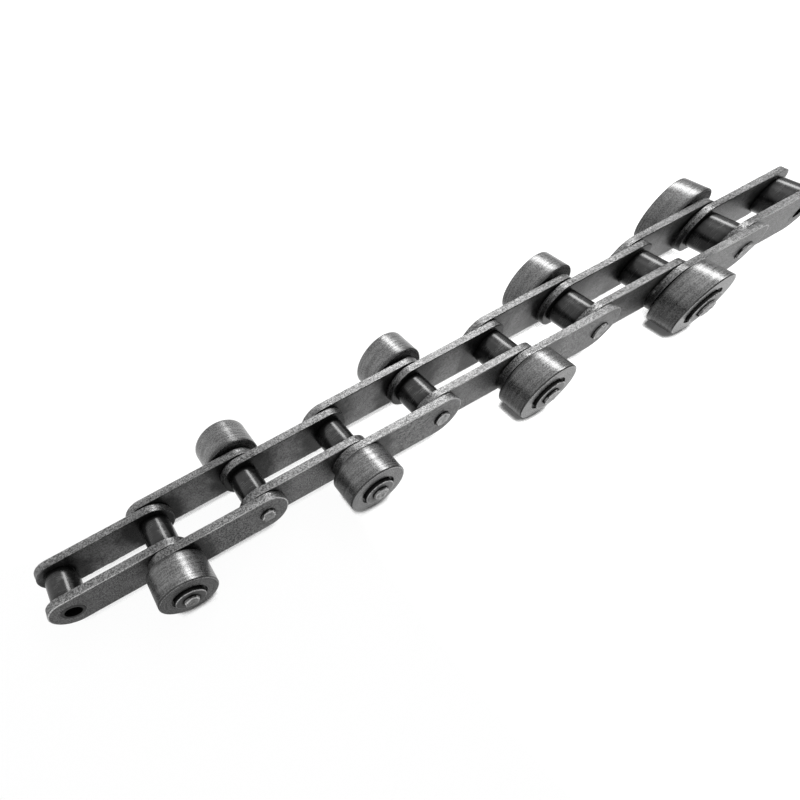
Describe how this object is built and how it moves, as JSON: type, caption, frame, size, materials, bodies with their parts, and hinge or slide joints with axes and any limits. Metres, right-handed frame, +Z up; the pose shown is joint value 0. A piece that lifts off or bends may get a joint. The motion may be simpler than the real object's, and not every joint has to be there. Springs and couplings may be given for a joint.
{
  "type": "conveyor chain",
  "caption": "Length of double-pitch conveyor chain: straight side plates on bushes and riveted pins, a small roller at each joint, and outboard rollers on alternate sides.",
  "frame": {"origin": "on the surface that the outboard rollers stand on, under the middle of the chain's length and width", "axes": "+X along the chain, +Y across it along the pins, towards the far side, +Z up"},
  "size_m": [0.3594, 0.058, 0.0222],
  "materials": {
    "side_plate_steel": "satin, dark grey, tumbled, with lighter sheared edges",
    "bush_steel": "satin, hardened",
    "pin_steel": "satin, hardened, with riveted ends",
    "small_roller_steel": "smooth, blued",
    "outboard_roller_steel": "turned, with fine marks round the tread"
  },
  "bodies": {
    "inner_link_1": {"inner_plate_near_1": "side_plate_steel", "inner_plate_far_1": "side_plate_steel", "bush_1": "bush_steel", "bush_2": "bush_steel"},
    "inner_link_2": {"inner_plate_near_2": "side_plate_steel", "inner_plate_far_2": "side_plate_steel", "bush_3": "bush_steel", "bush_4": "bush_steel"},
    "inner_link_3": {"inner_plate_near_3": "side_plate_steel", "inner_plate_far_3": "side_plate_steel", "bush_5": "bush_steel", "bush_6": "bush_steel"},
    "inner_link_4": {"inner_plate_near_4": "side_plate_steel", "inner_plate_far_4": "side_plate_steel", "bush_7": "bush_steel", "bush_8": "bush_steel"},
    "inner_link_5": {"inner_plate_near_5": "side_plate_steel", "inner_plate_far_5": "side_plate_steel", "bush_9": "bush_steel", "bush_10": "bush_steel"},
    "outer_link_1": {"outer_plate_near_1": "side_plate_steel", "outer_plate_far_1": "side_plate_steel", "pin_2": "pin_steel", "pin_3": "pin_steel", "washers_1": "pin_steel"},
    "outer_link_2": {"outer_plate_near_2": "side_plate_steel", "outer_plate_far_2": "side_plate_steel", "pin_4": "pin_steel", "pin_5": "pin_steel", "washers_2": "pin_steel"},
    "outer_link_3": {"outer_plate_near_3": "side_plate_steel", "outer_plate_far_3": "side_plate_steel", "pin_6": "pin_steel", "pin_7": "pin_steel", "washers_3": "pin_steel"},
    "outer_link_4": {"outer_plate_near_4": "side_plate_steel", "outer_plate_far_4": "side_plate_steel", "pin_8": "pin_steel", "pin_9": "pin_steel", "washers_4": "pin_steel"},
    "small_roller_1": {"small_roller_1": "small_roller_steel"},
    "small_roller_2": {"small_roller_2": "small_roller_steel"},
    "small_roller_3": {"small_roller_3": "small_roller_steel"},
    "small_roller_4": {"small_roller_4": "small_roller_steel"},
    "small_roller_5": {"small_roller_5": "small_roller_steel"},
    "small_roller_6": {"small_roller_6": "small_roller_steel"},
    "small_roller_7": {"small_roller_7": "small_roller_steel"},
    "small_roller_8": {"small_roller_8": "small_roller_steel"},
    "small_roller_9": {"small_roller_9": "small_roller_steel"},
    "small_roller_10": {"small_roller_10": "small_roller_steel"},
    "outboard_roller_2": {"outboard_roller_2": "outboard_roller_steel"},
    "outboard_roller_3": {"outboard_roller_3": "outboard_roller_steel"},
    "outboard_roller_4": {"outboard_roller_4": "outboard_roller_steel"},
    "outboard_roller_5": {"outboard_roller_5": "outboard_roller_steel"},
    "outboard_roller_6": {"outboard_roller_6": "outboard_roller_steel"},
    "outboard_roller_7": {"outboard_roller_7": "outboard_roller_steel"},
    "outboard_roller_8": {"outboard_roller_8": "outboard_roller_steel"},
    "outboard_roller_9": {"outboard_roller_9": "outboard_roller_steel"}
  },
  "joints": [
    {"name": "link_hinge_6", "type": "hinge", "parent": "inner_link_3", "child": "outer_link_3", "pos_m": [0.01905, 0, 0.01111], "axis": [0, 1, 0], "range_deg": [-140, 140]},
    {"name": "link_hinge_7", "type": "hinge", "parent": "outer_link_3", "child": "inner_link_4", "pos_m": [0.05715, 0, 0.01111], "axis": [0, -1, 0], "range_deg": [-140, 140]},
    {"name": "link_hinge_8", "type": "hinge", "parent": "inner_link_4", "child": "outer_link_4", "pos_m": [0.09525, 0, 0.01111], "axis": [0, 1, 0], "range_deg": [-140, 140]},
    {"name": "link_hinge_9", "type": "hinge", "parent": "outer_link_4", "child": "inner_link_5", "pos_m": [0.13335, 0, 0.01111], "axis": [0, -1, 0], "range_deg": [-140, 140]},
    {"name": "link_hinge_5", "type": "hinge", "parent": "inner_link_3", "child": "outer_link_2", "pos_m": [-0.01905, 0, 0.01111], "axis": [0, 1, 0], "range_deg": [-140, 140]},
    {"name": "link_hinge_4", "type": "hinge", "parent": "outer_link_2", "child": "inner_link_2", "pos_m": [-0.05715, 0, 0.01111], "axis": [0, -1, 0], "range_deg": [-140, 140]},
    {"name": "link_hinge_3", "type": "hinge", "parent": "inner_link_2", "child": "outer_link_1", "pos_m": [-0.09525, 0, 0.01111], "axis": [0, 1, 0], "range_deg": [-140, 140]},
    {"name": "link_hinge_2", "type": "hinge", "parent": "outer_link_1", "child": "inner_link_1", "pos_m": [-0.13335, 0, 0.01111], "axis": [0, -1, 0], "range_deg": [-140, 140]},
    {"name": "small_roller_1_spin", "type": "hinge", "parent": "inner_link_1", "child": "small_roller_1", "pos_m": [-0.17145, 0, 0.01111], "axis": [0, 1, 0], "continuous": true},
    {"name": "small_roller_2_spin", "type": "hinge", "parent": "inner_link_1", "child": "small_roller_2", "pos_m": [-0.13335, 0, 0.01111], "axis": [0, 1, 0], "continuous": true},
    {"name": "small_roller_3_spin", "type": "hinge", "parent": "inner_link_2", "child": "small_roller_3", "pos_m": [-0.09525, 0, 0.01111], "axis": [0, 1, 0], "continuous": true},
    {"name": "small_roller_4_spin", "type": "hinge", "parent": "inner_link_2", "child": "small_roller_4", "pos_m": [-0.05715, 0, 0.01111], "axis": [0, 1, 0], "continuous": true},
    {"name": "small_roller_5_spin", "type": "hinge", "parent": "inner_link_3", "child": "small_roller_5", "pos_m": [-0.01905, 0, 0.01111], "axis": [0, 1, 0], "continuous": true},
    {"name": "small_roller_6_spin", "type": "hinge", "parent": "inner_link_3", "child": "small_roller_6", "pos_m": [0.01905, 0, 0.01111], "axis": [0, 1, 0], "continuous": true},
    {"name": "small_roller_7_spin", "type": "hinge", "parent": "inner_link_4", "child": "small_roller_7", "pos_m": [0.05715, 0, 0.01111], "axis": [0, 1, 0], "continuous": true},
    {"name": "small_roller_8_spin", "type": "hinge", "parent": "inner_link_4", "child": "small_roller_8", "pos_m": [0.09525, 0, 0.01111], "axis": [0, 1, 0], "continuous": true},
    {"name": "small_roller_9_spin", "type": "hinge", "parent": "inner_link_5", "child": "small_roller_9", "pos_m": [0.13335, 0, 0.01111], "axis": [0, 1, 0], "continuous": true},
    {"name": "small_roller_10_spin", "type": "hinge", "parent": "inner_link_5", "child": "small_roller_10", "pos_m": [0.17145, 0, 0.01111], "axis": [0, 1, 0], "continuous": true},
    {"name": "outboard_roller_2_spin", "type": "hinge", "parent": "outer_link_1", "child": "outboard_roller_2", "pos_m": [-0.13335, 0, 0.01111], "axis": [0, 1, 0], "continuous": true},
    {"name": "outboard_roller_3_spin", "type": "hinge", "parent": "outer_link_1", "child": "outboard_roller_3", "pos_m": [-0.09525, 0, 0.01111], "axis": [0, 1, 0], "continuous": true},
    {"name": "outboard_roller_4_spin", "type": "hinge", "parent": "outer_link_2", "child": "outboard_roller_4", "pos_m": [-0.05715, 0, 0.01111], "axis": [0, 1, 0], "continuous": true},
    {"name": "outboard_roller_5_spin", "type": "hinge", "parent": "outer_link_2", "child": "outboard_roller_5", "pos_m": [-0.01905, 0, 0.01111], "axis": [0, 1, 0], "continuous": true},
    {"name": "outboard_roller_6_spin", "type": "hinge", "parent": "outer_link_3", "child": "outboard_roller_6", "pos_m": [0.01905, 0, 0.01111], "axis": [0, 1, 0], "continuous": true},
    {"name": "outboard_roller_7_spin", "type": "hinge", "parent": "outer_link_3", "child": "outboard_roller_7", "pos_m": [0.05715, 0, 0.01111], "axis": [0, 1, 0], "continuous": true},
    {"name": "outboard_roller_8_spin", "type": "hinge", "parent": "outer_link_4", "child": "outboard_roller_8", "pos_m": [0.09525, 0, 0.01111], "axis": [0, 1, 0], "continuous": true},
    {"name": "outboard_roller_9_spin", "type": "hinge", "parent": "outer_link_4", "child": "outboard_roller_9", "pos_m": [0.13335, 0, 0.01111], "axis": [0, 1, 0], "continuous": true}
  ]
}
